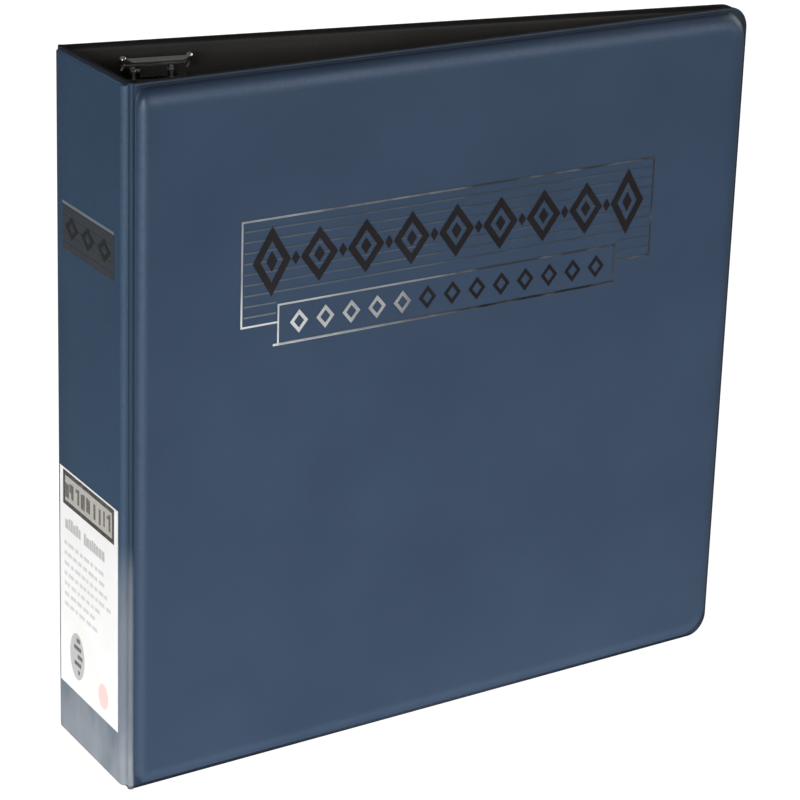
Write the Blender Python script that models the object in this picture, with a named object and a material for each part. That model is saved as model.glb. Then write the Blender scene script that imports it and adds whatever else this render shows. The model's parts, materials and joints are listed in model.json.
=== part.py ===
"""A padded vinyl ring binder for trading card pages, standing upright and closed.

Two padded covers hang on welded vinyl hinges at the edges of a narrow spine. A ring mechanism is riveted
inside the back cover: two blades, each with its ring halves, swing apart under a curved steel housing when
either end lever is pressed.

Frame: the origin is on the surface the binder stands on, under the middle of its bounding box. +X runs
from the spine to the fore-edges, +Y from the front cover to the back cover, and +Z up the spine.

Sizes are in millimetres and turn into metres where a vertex is made. Each panel (front cover, spine, back
cover) is drawn in its own coordinates: a runs along the panel from its hinge line, n points out of the
binder from the plane where the panel's two vinyl sheets are welded, and z is up.
"""

from math import asin, cos, degrees, pi, radians, sin

import bmesh
import bpy
from mathutils import Matrix, Vector

MM = 0.001

# Driving dimensions
HEIGHT = 298.0
COVER_REACH = 309.5        # hinge line to fore-edge
HINGE_SPACING = 69.0       # front hinge line to back hinge line
LEAN = 6.0                 # degrees that each empty cover leans in from square
SPINE_SWELL = 3.3          # weld plane to the spine's outer face
COVER_SWELL = 5.4          # weld plane to a cover's padded outer face
RING_PITCH = 108.0         # between rings, the three-ring standard
RING_TOP = 54.0            # back lining to the outside of a closed ring
MECHANISM_A = 36.5         # hinge line to the middle of the ring housing
BLADE_SWING = 12.0         # degrees each blade turns to open the rings; the end levers turn 17 meanwhile

# Vinyl
FIT_GAP = 0.3              # left between pieces that touch
SEAM_RADIUS = 0.5
SEAM_GAP = 0.35            # hinge seam to the vinyl on either side
VINYL = 0.6
FLANGE_LOW = 0.2           # weld plane to the underside of the outer vinyl
FLANGE_HIGH = 0.95         # weld plane to the top of the welded border
LINING_NEAR = -0.1         # the lining lies on the inner side of the weld plane
LINING_FAR = -0.5
HINGE_INSET = SEAM_RADIUS + SEAM_GAP
SHOULDER_STEPS = 6

# Stiffening
BOARD_LOW = 0.5
BOARD_HIGH = 2.5
FOAM_LOW = BOARD_HIGH + FIT_GAP

# Ring mechanism, m being the height above the back lining
HOUSING_HALF = 15.2
HOUSING_CROWN = 9.0
HOUSING_WALL = 4.2
HOUSING_SHEET = 0.9
HOUSING_END = 14.0         # from the top and bottom of the binder
PIVOT_OFFSET = 13.3        # middle of the housing to a blade's outer edge
PIVOT_M = 3.0
BLADE_SHEET = 1.0
BLADE_END = 16.0
BLADE_TILT = BLADE_SWING / 2
WIRE_RADIUS = 2.0
TENON_RADIUS = 1.1
LEVER_PIVOT_Z = 11.5       # from the top and bottom of the binder
LEVER_PIVOT_M = 4.0
LEVER_SHEET = 1.2
PIN_RADIUS = 1.1
TAB_MIDDLE = 8.0           # middle of the housing to each of the tabs that hold a lever pin
CHEEK_MIDDLE = 5.0
RIVET_RADIUS = 2.4
RIVET_HEAD_RADIUS = 5.5

# Worked out from those above
HALF_SPACING = HINGE_SPACING / 2
LENGTH_X = COVER_REACH * cos(radians(LEAN))
HINGE_X = (SPINE_SWELL - LENGTH_X) / 2
RING_HEIGHTS = [HEIGHT / 2 + step * RING_PITCH for step in (-1, 0, 1)]
RIVET_HEIGHTS = [HEIGHT / 2 + step * RING_PITCH for step in (-0.5, 0.5)]
BLADE_WIDTH = PIVOT_OFFSET - FIT_GAP
WIRE_TOP = RING_TOP - WIRE_RADIUS
SPINE_FOOT = -8.5          # spine-side ring foot, from the middle of the housing
FORE_FOOT = 9.0            # fore-edge-side ring foot


# Materials

def principled(name, colour, roughness, metallic=0.0):
    material = bpy.data.materials.get(name)
    if material is None:
        material = bpy.data.materials.new(name)
        material.use_nodes = True
        shader = material.node_tree.nodes["Principled BSDF"]
        shader.inputs["Base Color"].default_value = (*colour, 1.0)
        shader.inputs["Roughness"].default_value = roughness
        shader.inputs["Metallic"].default_value = metallic
    return material


def blue_vinyl():
    return principled("blue_vinyl", (0.045, 0.082, 0.15), 0.42)


def black_lining():
    return principled("black_lining", (0.018, 0.018, 0.017), 0.5)


def chipboard():
    return principled("chipboard", (0.34, 0.29, 0.22), 0.9)


def foam():
    return principled("foam", (0.75, 0.73, 0.66), 0.95)


def label_paper():
    return principled("label_paper", (0.8, 0.8, 0.78), 0.45)


def foil():
    return principled("foil", (0.3, 0.31, 0.33), 0.2, 1.0)


def nickel():
    return principled("nickel", (0.72, 0.71, 0.69), 0.18, 1.0)


def blade_steel():
    return principled("blade_steel", (0.5, 0.5, 0.49), 0.38, 1.0)


# Placing

def empty(name, location, turn_z=0.0, parent=None):
    """A frame to hang pieces on, turned by turn_z degrees about Z."""
    frame = bpy.data.objects.new(name, None)
    frame.empty_display_size = 0.02
    frame.location = Vector(location) * MM
    frame.rotation_euler = (0.0, 0.0, radians(turn_z))
    frame.parent = parent
    bpy.context.collection.objects.link(frame)
    return frame


def front_xyz(a, n, z):
    return (a, -n, z)


def back_xyz(a, n, z):
    return (a, n, z)


def spine_xyz(a, n, z):
    return (-n, a, z)


def inside_back(across, m, z):
    """A point of the ring mechanism, across its housing and m above the back lining."""
    return back_xyz(MECHANISM_A + across, LINING_FAR - m, z)


# Meshes

def finish(name, bm, parent, material=None, smooth_angle=40.0):
    """Turn a bmesh drawn in millimetres into an object hung on parent."""
    bmesh.ops.scale(bm, vec=(MM, MM, MM), verts=bm.verts)
    bmesh.ops.recalc_face_normals(bm, faces=bm.faces)
    mesh = bpy.data.meshes.new(name)
    bm.to_mesh(mesh)
    bm.free()
    mesh.shade_smooth()
    mesh.set_sharp_from_angle(angle=radians(smooth_angle))
    piece = bpy.data.objects.new(name, mesh)
    piece.parent = parent
    if material is not None:
        mesh.materials.append(material)
    bpy.context.collection.objects.link(piece)
    return piece


def lofted(name, loops, parent, material=None):
    """A solid skinned over loops of equal length, with a face across the first and the last."""
    bm = bmesh.new()
    rings = [[bm.verts.new(point) for point in loop] for loop in loops]
    count = len(rings[0])
    for ring, following in zip(rings, rings[1:]):
        for i in range(count):
            j = (i + 1) % count
            bm.faces.new((ring[i], ring[j], following[j], following[i]))
    bm.faces.new(rings[0])
    bm.faces.new(rings[-1])
    return finish(name, bm, parent, material)


def swept(name, section, low_z, high_z, parent, material=None):
    """A section in (x, y) carried up from low_z to high_z."""
    loops = [[(x, y, z) for x, y in section] for z in (low_z, high_z)]
    return lofted(name, loops, parent, material)


def cut_sheet(name, outlines, place, low_n, high_n, parent, material):
    """A flat sheet in (a, z) whose first outline is its edge and whose others are windows."""
    bm = bmesh.new()
    edges = []
    for points in outlines:
        corners = [bm.verts.new(place(a, low_n, z)) for a, z in points]
        edges += [bm.edges.new((corners[i - 1], corners[i])) for i in range(len(corners))]
    bmesh.ops.triangle_fill(bm, use_beauty=True, edges=edges)
    raised = bmesh.ops.extrude_face_region(bm, geom=list(bm.faces))
    lift = Vector(place(0.0, high_n, 0.0)) - Vector(place(0.0, low_n, 0.0))
    verts = [item for item in raised["geom"] if isinstance(item, bmesh.types.BMVert)]
    bmesh.ops.translate(bm, vec=lift, verts=verts)
    return finish(name, bm, parent, material)


def cylinders(name, radius, spans, parent, sides=20):
    """Cylinders from spans of (start, end) points, in one mesh."""
    bm = bmesh.new()
    for start, end in spans:
        run = Vector(end) - Vector(start)
        turn = run.to_track_quat("Z", "Y").to_matrix().to_4x4()
        middle = Matrix.Translation((Vector(start) + Vector(end)) / 2)
        bmesh.ops.create_cone(bm, cap_ends=True, segments=sides, radius1=radius, radius2=radius,
                              depth=run.length, matrix=middle @ turn)
    return finish(name, bm, parent)


def turned(name, profile, place, parent, material, sides=20):
    """A solid of revolution: profile holds (radius, height), and place sets each point of the axis frame."""
    loops = []
    for radius, height in profile:
        angles = [2 * pi * i / sides for i in range(sides)]
        loops.append([place(radius * cos(t), radius * sin(t), height) for t in angles])
    return lofted(name, loops, parent, material)


def boolean(piece, operation, tool):
    """Cut piece with tool, or join tool to it, and keep tool out of the finished object."""
    tool.hide_render = True
    tool.display_type = "WIRE"
    modifier = piece.modifiers.new(tool.name, "BOOLEAN")
    modifier.operation = operation
    modifier.solver = "EXACT"
    modifier.object = tool


# Outlines

def arc(centre, radius, start, end, steps):
    """Points on an arc from start to end degrees, both included."""
    turns = [radians(start + (end - start) * i / steps) for i in range(steps + 1)]
    return [(centre[0] + radius * cos(t), centre[1] + radius * sin(t)) for t in turns]


def rounded(low_a, high_a, low_z, high_z, low_radius, high_radius, low_steps=3, high_steps=8):
    """A rectangle with one corner radius at its low-a side and another at its high-a side."""
    near, far = low_radius, high_radius
    return (arc((low_a + near, low_z + near), near, 180, 270, low_steps)
            + arc((high_a - far, low_z + far), far, 270, 360, high_steps)
            + arc((high_a - far, high_z - far), far, 0, 90, high_steps)
            + arc((low_a + near, high_z - near), near, 90, 180, low_steps))


def rectangle(low_a, high_a, low_z, high_z):
    return [(low_a, low_z), (high_a, low_z), (high_a, high_z), (low_a, high_z)]


def cover_outline(inset, hinge_inset=None):
    """A cover's outline, inset from its free edges and, by its own amount, from its hinge line."""
    hinge_inset = inset if hinge_inset is None else hinge_inset
    fore_radius = max(10.0 - inset, 3.5)
    hinge_radius = min(1.0 + 0.4 * inset, 3.4)
    return rounded(HINGE_INSET + hinge_inset, COVER_REACH - inset, inset, HEIGHT - inset,
                   hinge_radius, fore_radius)


def spine_outline(inset, hinge_inset):
    """The spine's outline, inset from its ends and, by its own amount, from both hinge lines."""
    reach = HALF_SPACING - HINGE_INSET - hinge_inset
    radius = min(0.8 + 0.3 * inset, 2.4)
    return rounded(-reach, reach, inset, HEIGHT - inset, radius, radius, 3, 3)


def tray(name, outline, flange, shoulder, hinge_flange, hinge_shoulder, swell, place, parent):
    """The outer vinyl of a panel: a welded border, a rounded shoulder and a flat face, open inside."""
    top = swell - FLANGE_HIGH

    def loop(thickness, angle, height):
        run = 1 - cos(angle)
        edge = flange + thickness + (shoulder - thickness) * run
        hinge = hinge_flange + thickness * 0.6 + (hinge_shoulder - thickness * 0.6) * run
        return [place(a, height, z) for a, z in outline(edge, hinge)]

    def border(inset, height):
        return [place(a, height, z) for a, z in outline(inset, inset * 0.3)]

    angles = [pi / 2 * i / SHOULDER_STEPS for i in range(SHOULDER_STEPS + 1)]
    loops = [loop(0.0, t, FLANGE_HIGH + top * sin(t)) for t in reversed(angles)]
    loops += [border(0.3, FLANGE_HIGH), border(0.0, FLANGE_HIGH - 0.25), border(0.0, FLANGE_LOW)]
    loops += [loop(VINYL, 0.0, FLANGE_LOW)]
    loops += [loop(VINYL, t, FLANGE_HIGH + (top - VINYL) * sin(t)) for t in angles]
    return lofted(name, loops, parent, blue_vinyl())


def slab(name, outline, low_n, high_n, place, parent, material):
    loops = [[place(a, n, z) for a, z in outline] for n in (low_n, high_n)]
    return lofted(name, loops, parent, material)


# Covers and spine

def cover_skin(name, place, parent):
    return tray(name, cover_outline, 2.0, 5.0, 0.4, 2.9, COVER_SWELL, place, parent)


def spine_skin(place, parent):
    return tray("spine_skin", spine_outline, 1.8, 1.8, 0.35, 1.2, SPINE_SWELL, place, parent)


def cover_board(name, place, parent):
    return slab(name, cover_outline(4.4, 3.2), BOARD_LOW, BOARD_HIGH, place, parent, chipboard())


def cover_foam(name, place, parent):
    """A foam sheet whose outer edge is rounded over under the vinyl."""
    top = COVER_SWELL - VINYL - FIT_GAP
    rise = top - FOAM_LOW
    angles = [pi / 2 * i / 4 for i in range(5)]
    loops = [[place(a, FOAM_LOW + rise * sin(t), z)
              for a, z in cover_outline(5.0 + 3.0 * (1 - cos(t)), 3.2 + 1.4 * (1 - cos(t)))] for t in angles]
    return lofted(name, loops, parent, foam())


def cover_lining(name, place, parent):
    return slab(name, cover_outline(0.0), LINING_FAR, LINING_NEAR, place, parent, black_lining())


def spine_board(place, parent):
    return slab("spine_board", spine_outline(3.0, 1.3), BOARD_LOW, 2.3, place, parent, chipboard())


def spine_lining(place, parent):
    return slab("spine_lining", spine_outline(0.0, 0.0), LINING_FAR, LINING_NEAR, place, parent,
                black_lining())


def hinge_seam(name, hinge_a, parent):
    """The welded bead that a cover turns on."""
    section = [(x, y + hinge_a) for x, y in arc((0.0, 0.0), SEAM_RADIUS, 0, 330, 11)]
    return swept(name, section, 0.0, HEIGHT, parent, blue_vinyl())


def spine_label(parent):
    outline = rounded(-29.4, 29.4, 24.0, 121.8, 1.5, 1.5, 3, 3)
    low = SPINE_SWELL + 0.1
    return slab("spine_label", outline, low, low + 0.15, spine_xyz, parent, label_paper())


def spine_foil_band(parent):
    """A foil block on the spine with a row of lozenge windows."""
    middle = 227.0
    windows = [[(c - 5.0, middle), (c, middle - 3.4), (c + 5.0, middle), (c, middle + 3.4)]
               for c in (-16.0, 0.0, 16.0)]
    edge = rounded(-25.4, 25.4, middle - 10.0, middle + 10.0, 0.8, 0.8, 2, 2)
    low = SPINE_SWELL + 0.1
    return cut_sheet("spine_foil_band", [edge] + windows, spine_xyz, low, low + 0.1, parent, foil())


def lozenge_window(low_a, high_a, rail_z, bar_z, count, half_width, tip_z):
    """A window between a straight rail and a bar that carries a row of pointed teeth."""
    points = [(high_a, rail_z), (low_a, rail_z), (low_a, bar_z)]
    pitch = (high_a - low_a) / count
    for i in range(count):
        centre = low_a + pitch * (i + 0.5)
        points += [(centre - half_width, bar_z), (centre, tip_z), (centre + half_width, bar_z)]
    return points + [(high_a, bar_z)]


def front_foil_plaque(parent):
    """A ruled frame over a smaller offset frame, each with a bar of lozenges in it."""
    line = 1.1
    left, right, low, high = 46.8, 257.5, 193.5, 237.9
    small_left, small_right, small_low = 64.4, 238.0, 184.0
    edge = [(left, low), (small_left, low), (small_left, small_low), (small_right, small_low),
            (small_right, low), (right, low), (right, high), (left, high)]
    shelf = low + 8.0
    middle = (shelf + high) / 2
    small_middle = (small_low + shelf) / 2
    rows = [(left, right, middle, shelf, high, 9, 7.4, 12.0),
            (small_left, small_right, small_middle, small_low, shelf, 13, 4.2, 5.0)]
    windows = []
    for low_a, high_a, bar, floor, ceiling, count, half_width, half_height in rows:
        ends = (low_a + line, high_a - line)
        for rail, side in ((ceiling - line, 1), (floor + line, -1)):
            windows.append(lozenge_window(*ends, rail, bar + side * line / 2, count, half_width,
                                          bar + side * half_height))
    for low_a, high_a in ((left + line, small_left), (small_right, right - line)):
        windows.append(rectangle(low_a, high_a, low + line, shelf - line))
    face = COVER_SWELL + 0.1
    return cut_sheet("front_foil_plaque", [edge] + windows, front_xyz, face, face + 0.1, parent, foil())


# Ring mechanism

def housing_section():
    """The housing's section as one closed outline: hems, side walls and an arch, all of one sheet."""
    rise = HOUSING_CROWN - HOUSING_WALL
    radius = (HOUSING_HALF ** 2 + rise ** 2) / (2 * rise)
    centre = (0.0, HOUSING_CROWN - radius)
    reach = degrees(asin(HOUSING_HALF / radius))
    inner_reach = degrees(asin((HOUSING_HALF - HOUSING_SHEET) / (radius - HOUSING_SHEET)))
    hem_end = HOUSING_HALF - 2.6
    hem_low = FIT_GAP
    outer = [(hem_end, hem_low), (HOUSING_HALF - 0.6, hem_low), (HOUSING_HALF, hem_low + 0.6)]
    outer += arc(centre, radius, 90 - reach, 90 + reach, 16)
    outer += [(-x, m) for x, m in reversed(outer[:3])]
    inner = [(-hem_end, hem_low + HOUSING_SHEET), (HOUSING_SHEET - HOUSING_HALF, hem_low + HOUSING_SHEET)]
    inner += arc(centre, radius - HOUSING_SHEET, 90 + inner_reach, 90 - inner_reach, 16)
    inner += [(-x, m) for x, m in reversed(inner[:2])]
    return outer + inner


def lever_tabs(end_z, inward, parent):
    """Two tabs under one end of the housing that carry a lever's pin."""
    pivot_z = end_z + inward * LEVER_PIVOT_Z
    root_z = end_z + inward * 22.0
    tabs = []
    for side in (-1, 1):
        spread = [TAB_MIDDLE * side - LEVER_SHEET / 2, TAB_MIDDLE * side + LEVER_SHEET / 2]
        eye = arc((pivot_z, LEVER_PIVOT_M), 2.4, 90, -180, 14)
        if inward > 0:
            eye = [(2 * pivot_z - z, m) for z, m in eye]
        stem_z = end_z + inward * 14.2
        side_shape = [(root_z, 6.6)] + eye + [(stem_z, 4.7), (root_z, 4.7)]
        loops = [[inside_back(across, m, z) for z, m in side_shape] for across in spread]
        name = f"tab_{'low' if inward > 0 else 'high'}_{'spine' if side < 0 else 'fore'}"
        tabs.append(lofted(name, loops, parent))
    return tabs


def slot_cutter(parent):
    """Openings in the housing where the ring wires come out and move, as one cutting mesh."""
    bm = bmesh.new()
    for z in RING_HEIGHTS:
        for foot, side in ((SPINE_FOOT, -1), (FORE_FOOT, 1)):
            centre = inside_back(foot + side * 0.5, 8.0, z)
            size = Matrix.Diagonal((2 * WIRE_RADIUS + 2.2, 8.0, 2 * WIRE_RADIUS + 0.9, 1.0))
            bmesh.ops.create_cube(bm, size=1.0, matrix=Matrix.Translation(centre) @ size)
    return finish("slot_cutter", bm, parent)


def rivet_spans(low_m, high_m):
    return [(inside_back(0.0, low_m, z), inside_back(0.0, high_m, z)) for z in RIVET_HEIGHTS]


def ring_housing(parent):
    """The curved plate, hemmed along both sides, slotted for the rings and holed for its rivets."""
    ends = (HOUSING_END, HEIGHT - HOUSING_END)
    section = [inside_back(across, m, 0.0)[:2] for across, m in housing_section()]
    housing = swept("ring_housing", section, *ends, parent, nickel())
    for tab in lever_tabs(0.0, 1, parent) + lever_tabs(HEIGHT, -1, parent):
        boolean(housing, "UNION", tab)
    boolean(housing, "DIFFERENCE", slot_cutter(parent))
    boolean(housing, "DIFFERENCE", cylinders("crown_cutter", RIVET_RADIUS + FIT_GAP,
                                             rivet_spans(5.0, 12.0), parent))
    pin_spans = [(inside_back(-12.0, LEVER_PIVOT_M, z), inside_back(12.0, LEVER_PIVOT_M, z))
                 for z in (LEVER_PIVOT_Z, HEIGHT - LEVER_PIVOT_Z)]
    boolean(housing, "DIFFERENCE", cylinders("eye_cutter", PIN_RADIUS + FIT_GAP, pin_spans, parent, 16))
    return housing


def blade(name, side, axis_frame):
    """One of the two blades, its outer edge round on the axis it turns on, drawn from that axis."""
    half = BLADE_SHEET / 2
    outer_edge = [(-x * side, y) for x, y in arc((0.0, 0.0), half, 90, -90, 8)]
    inner_edge = [(-side * BLADE_WIDTH, -half), (-side * BLADE_WIDTH, half)]
    flat = [(-x, y) for x, y in outer_edge] + inner_edge
    lean = Matrix.Rotation(radians(side * -BLADE_TILT), 2)
    section = [tuple(lean @ Vector(point)) for point in flat]
    piece = swept(name, section, BLADE_END, HEIGHT - BLADE_END, axis_frame, blade_steel())
    offset = side * PIVOT_OFFSET
    notches = [((-offset, 6.0, z), (-offset, -6.0, z)) for z in RIVET_HEIGHTS]
    boolean(piece, "DIFFERENCE", cylinders(f"{name}_notches", 3.8, notches, axis_frame))
    foot = (SPINE_FOOT if side < 0 else FORE_FOOT) - offset
    holes = [((foot, 6.0, z), (foot, -6.0, z)) for z in RING_HEIGHTS]
    boolean(piece, "DIFFERENCE", cylinders(f"{name}_holes", TENON_RADIUS + FIT_GAP, holes, axis_frame, 12))
    return piece


def spine_side_path():
    """Centre line of the bowed ring half, as (across, m) from its foot to its tip."""
    bend, lean_out = 5.0, 52.0
    straight = 10.0
    points = arc((SPINE_FOOT - bend, straight), bend, 0, lean_out, 4)
    last_a, last_m = points[-1]
    turn = 90.0 + lean_out
    bow = (WIRE_TOP - last_m) / (1 - cos(radians(turn)))
    centre = (last_a + bow * sin(radians(turn)), WIRE_TOP - bow)
    return points + arc(centre, bow, 90 + turn, 90, 20)[1:]


def fore_side_path(tip_a):
    """Centre line of the straight ring half, which turns over at the top to meet the other."""
    bend = FORE_FOOT - tip_a
    return arc((tip_a, WIRE_TOP - bend), bend, 0, 90, 8)


def ring_half(name, path, offset, height, axis_frame):
    """A wire on the given path, its foot stepped down to a tenon that goes through the blade."""
    foot = path[0][0]
    stations = [(foot, 1.5, TENON_RADIUS), (foot, 3.35, TENON_RADIUS), (foot, 3.4, WIRE_RADIUS)]
    stations += [(across, m, WIRE_RADIUS) for across, m in path]
    curve = bpy.data.curves.new(name, "CURVE")
    curve.dimensions = "3D"
    curve.bevel_depth = WIRE_RADIUS * MM
    curve.bevel_resolution = 4
    curve.use_fill_caps = True
    spline = curve.splines.new("POLY")
    spline.use_smooth = True
    spline.points.add(len(stations) - 1)
    for point, (across, m, radius) in zip(spline.points, stations):
        point.co = ((across - offset) * MM, (PIVOT_M - m) * MM, height * MM, 1.0)
        point.radius = radius / WIRE_RADIUS
    curve.materials.append(nickel())
    piece = bpy.data.objects.new(name, curve)
    piece.parent = axis_frame
    bpy.context.collection.objects.link(piece)
    return piece


def ring_bars(parent):
    """Both blades with their ring halves, each hung on the axis along its blade's outer edge."""
    bowed = spine_side_path()
    straight = fore_side_path(bowed[-1][0] + FIT_GAP)
    for side, word, path in ((-1, "spine", bowed), (1, "fore", straight)):
        offset = side * PIVOT_OFFSET
        axis_frame = empty(f"{word}_side_bar_axis", inside_back(offset, PIVOT_M, 0.0), parent=parent)
        blade(f"{word}_side_blade", side, axis_frame)
        for height, level in zip(RING_HEIGHTS, ("bottom", "middle", "top")):
            ring_half(f"{level}_ring_{word}_half", path, offset, height, axis_frame)


def thick_path(path, thickness):
    """A closed outline around a path of (z, m) points, half the thickness to each side."""
    left, right = [], []
    for i, point in enumerate(path):
        before = Vector(path[max(i - 1, 0)])
        after = Vector(path[min(i + 1, len(path) - 1)])
        along = (after - before).normalized()
        side = Vector((-along.y, along.x)) * thickness / 2
        left.append(tuple(Vector(point) + side))
        right.append(tuple(Vector(point) - side))
    return left + right[::-1]


def cut_short(path, share, steps):
    """The first share of a path's length, as steps + 1 evenly spaced points."""
    runs = [(Vector(after) - Vector(before)).length for before, after in zip(path, path[1:])]
    points = []
    for i in range(steps + 1):
        left = sum(runs) * share * i / steps
        k = 0
        while k < len(runs) - 1 and left > runs[k]:
            left -= runs[k]
            k += 1
        points.append(tuple(Vector(path[k]).lerp(Vector(path[k + 1]), left / runs[k])))
    return points


def lever_wing(path, half_width, corner):
    """Outlines across a lever's wing, whose two outer corners are rounded off."""
    turns = [pi / 2 * i / 6 for i in range(7)]
    end = [(half_width - corner * (1 - sin(t)), 1 - 0.45 * (1 - cos(t))) for t in turns]
    stations = [(-across, share) for across, share in reversed(end)] + end
    return [(across, thick_path(cut_short(path, share, 14), LEVER_SHEET)) for across, share in stations]


def lever_cheek():
    """A cheek's side view from its pin, in (z, m): an eye, and a hook that holds the blades' ends."""
    nose = arc((-7.0, -0.25), 0.6, 90, 270, 6)
    eye = arc((0.0, 0.0), 2.3, 240, 360, 8)
    throat = [(-3.4, -0.7), (-3.2, -3.15), (-7.2, -3.15), (-7.2, -3.65), (-2.4, -3.65)]
    return [(-1.8, 3.4), (-3.0, 1.0)] + nose + throat + eye + [(2.6, 3.4)]


def lever(name, outward, parent):
    """An end lever, drawn from its pin: hooked cheeks that hold the blades, a neck and a wide wing."""
    z = LEVER_PIVOT_Z if outward < 0 else HEIGHT - LEVER_PIVOT_Z
    pivot = empty(f"{name}_axis", inside_back(0.0, LEVER_PIVOT_M, z), parent=parent)

    def plate(part_name, stations):
        loops = [[(across, -m, outward * z) for z, m in shape] for across, shape in stations]
        return lofted(part_name, loops, pivot, nickel())

    neck_path = [(-1.8, 3.0), (1.6, 3.2), (3.0, 3.6)]
    wing_path = arc((1.6, 7.2), 4.0, -70, -30, 4) + arc((5.1, 8.3), 1.7, -20, 70, 5)
    wing = plate(name, lever_wing(wing_path, 14.0, 4.0))
    neck = thick_path(neck_path, LEVER_SHEET)
    boolean(wing, "UNION", plate(f"{name}_neck", [(-5.8, neck), (5.8, neck)]))
    for side, word in ((-1, "spine"), (1, "fore")):
        faces = [side * CHEEK_MIDDLE + half * LEVER_SHEET / 2 for half in (-1, 1)]
        cheek = plate(f"{name}_{word}_cheek", [(across, lever_cheek()) for across in faces])
        boolean(wing, "UNION", cheek)
    reach = CHEEK_MIDDLE + LEVER_SHEET
    eye = cylinders(f"{name}_eye_cutter", PIN_RADIUS + 0.05, [((-reach, 0, 0), (reach, 0, 0))], pivot, 24)
    boolean(wing, "DIFFERENCE", eye)


def lever_pin(name, z, parent):
    """The headed pin that a lever turns on."""
    grip = TAB_MIDDLE + LEVER_SHEET / 2 + 0.2
    head, cap = PIN_RADIUS + 0.8, 0.7
    profile = [(head * 0.6, -grip - cap), (head, -grip - cap / 2), (head, -grip), (PIN_RADIUS, -grip),
               (PIN_RADIUS, grip), (head, grip), (head, grip + cap / 2), (head * 0.6, grip + cap)]

    def place(x, y, along):
        return inside_back(along, LEVER_PIVOT_M + y, z + x)

    return turned(name, profile, place, parent, nickel(), 24)


def housing_rivet(name, z, parent):
    """A rivet from the outside of the back cover to the crown of the housing, domed at both ends."""
    head_m = LINING_FAR - COVER_SWELL - 0.1
    top_m = HOUSING_CROWN + 0.15
    dome = [(RIVET_HEAD_RADIUS * cos(radians(t)), head_m - 1.5 * sin(radians(t))) for t in (75, 50, 25)]
    clench = [(3.9 * cos(radians(t)), top_m + 0.9 * sin(radians(t))) for t in (0, 30, 65)]
    profile = dome + [(RIVET_HEAD_RADIUS, head_m), (RIVET_RADIUS, head_m), (RIVET_RADIUS, top_m)] + clench

    def place(x, y, m):
        return inside_back(x, m, z + y)

    return turned(name, profile, place, parent, nickel(), 24)


# Assembly

def clear_scene():
    for leftover in list(bpy.data.objects):
        bpy.data.objects.remove(leftover, do_unlink=True)


def build_spine():
    frame = empty("spine_frame", (HINGE_X, 0.0, 0.0))
    spine_skin(spine_xyz, frame)
    spine_board(spine_xyz, frame)
    spine_lining(spine_xyz, frame)
    hinge_seam("front_hinge_seam", -HALF_SPACING, frame)
    hinge_seam("back_hinge_seam", HALF_SPACING, frame)
    spine_label(frame)
    spine_foil_band(frame)


def build_cover(word, place, side):
    """The four layers of a cover, hung on its hinge line and leaning in."""
    frame = empty(f"{word}_hinge_axis", (HINGE_X, side * HALF_SPACING, 0.0), -side * LEAN)
    layers = [cover_skin(f"{word}_cover_skin", place, frame),
              cover_foam(f"{word}_foam_pad", place, frame),
              cover_board(f"{word}_board", place, frame),
              cover_lining(f"{word}_lining", place, frame)]
    return frame, layers


def build_mechanism(frame, back_layers):
    ring_housing(frame)
    ring_bars(frame)
    for word, z, outward in (("bottom", LEVER_PIVOT_Z, -1), ("top", HEIGHT - LEVER_PIVOT_Z, 1)):
        lever(f"{word}_lever", outward, frame)
        lever_pin(f"{word}_lever_pin", z, frame)
    for word, z in zip(("bottom", "top"), RIVET_HEIGHTS):
        housing_rivet(f"{word}_housing_rivet", z, frame)
    through = cylinders("cover_hole_cutter", RIVET_RADIUS + FIT_GAP, rivet_spans(-9.0, 1.0), frame)
    for layer in back_layers:
        boolean(layer, "DIFFERENCE", through)


def build():
    clear_scene()
    build_spine()
    front_frame, _ = build_cover("front", front_xyz, -1)
    front_foil_plaque(front_frame)
    back_frame, back_layers = build_cover("back", back_xyz, 1)
    build_mechanism(back_frame, back_layers)


build()
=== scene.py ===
"""The looks of a padded vinyl ring binder for trading card pages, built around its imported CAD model.

The outer vinyl, the linings, the hinge strips, the foil stamping and the spine label are made here as fine
meshes that stand for the plain CAD solids. The ring mechanism keeps its CAD shape and gets its finish here.

Sizes are in millimetres and turn into metres where a point is placed. Each panel (front cover, spine, back
cover) has its own coordinates, read from the frame: a runs along the panel, n points out of the binder from
the plane where its two vinyl sheets are welded, and z is up.
"""

import json
import random
from math import atan2, cos, hypot, pi, radians, sin

import bmesh
import bpy
import numpy as np
from mathutils import Matrix, Vector, noise


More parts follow.
